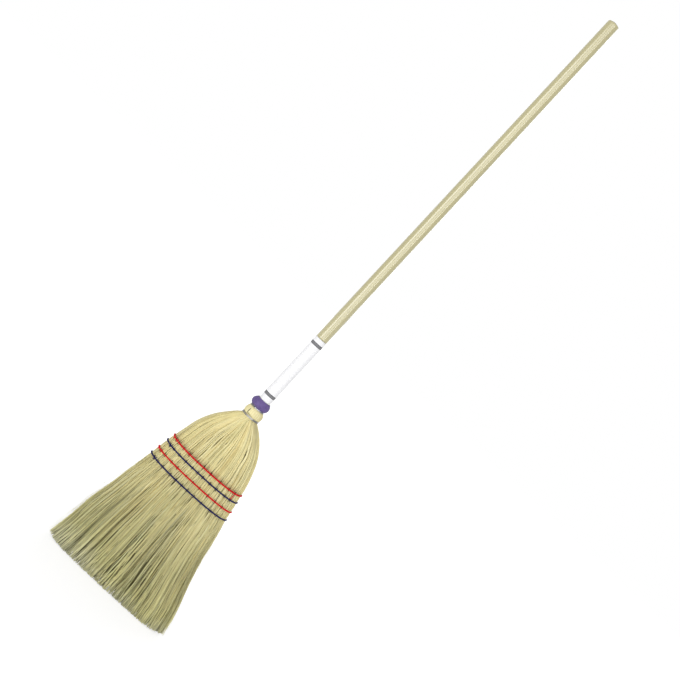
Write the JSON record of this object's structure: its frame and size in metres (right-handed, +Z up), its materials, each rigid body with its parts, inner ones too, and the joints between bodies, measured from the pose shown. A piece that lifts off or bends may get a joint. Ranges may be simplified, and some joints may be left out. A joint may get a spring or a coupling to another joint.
{
  "type": "straw broom",
  "caption": "Flat household broom: turned wooden handle, wire-bound neck under a moulded collar, and a fan of straw held flat by rows of stitched twine.",
  "frame": {"origin": "on the floor, on the handle's axis, at the level of the lowest straw tips", "axes": "+Z up the handle; +X across the sweep towards its longer side, on the picture's lower right; the face in the picture looks along -Y"},
  "size_m": [0.2872, 0.0521, 1.4],
  "materials": {
    "handle_wood": "clear lacquer",
    "label_film": "smooth film",
    "collar_plastic": "satin",
    "tack_steel": "plain",
    "binding_wire": "bright drawn",
    "inner_straw": "natural, split",
    "straw": "natural, sized",
    "twine_red": "twisted",
    "twine_navy": "twisted"
  },
  "bodies": {
    "root": {"handle": "handle_wood", "label_sleeve": "label_film", "neck_collar": "collar_plastic", "wire_tack": "tack_steel", "inner_winding": "binding_wire", "binding_wire": "binding_wire", "inner_corn": "inner_straw", "shoulder_corn_left": "straw", "shoulder_corn_right": "straw", "hurl_front": "straw", "hurl_back": "straw", "stitch_row_1_red": "twine_red", "stitch_row_2_navy": "twine_navy", "stitch_row_3_red": "twine_red", "stitch_row_4_navy": "twine_navy"}
  },
  "joints": []
}
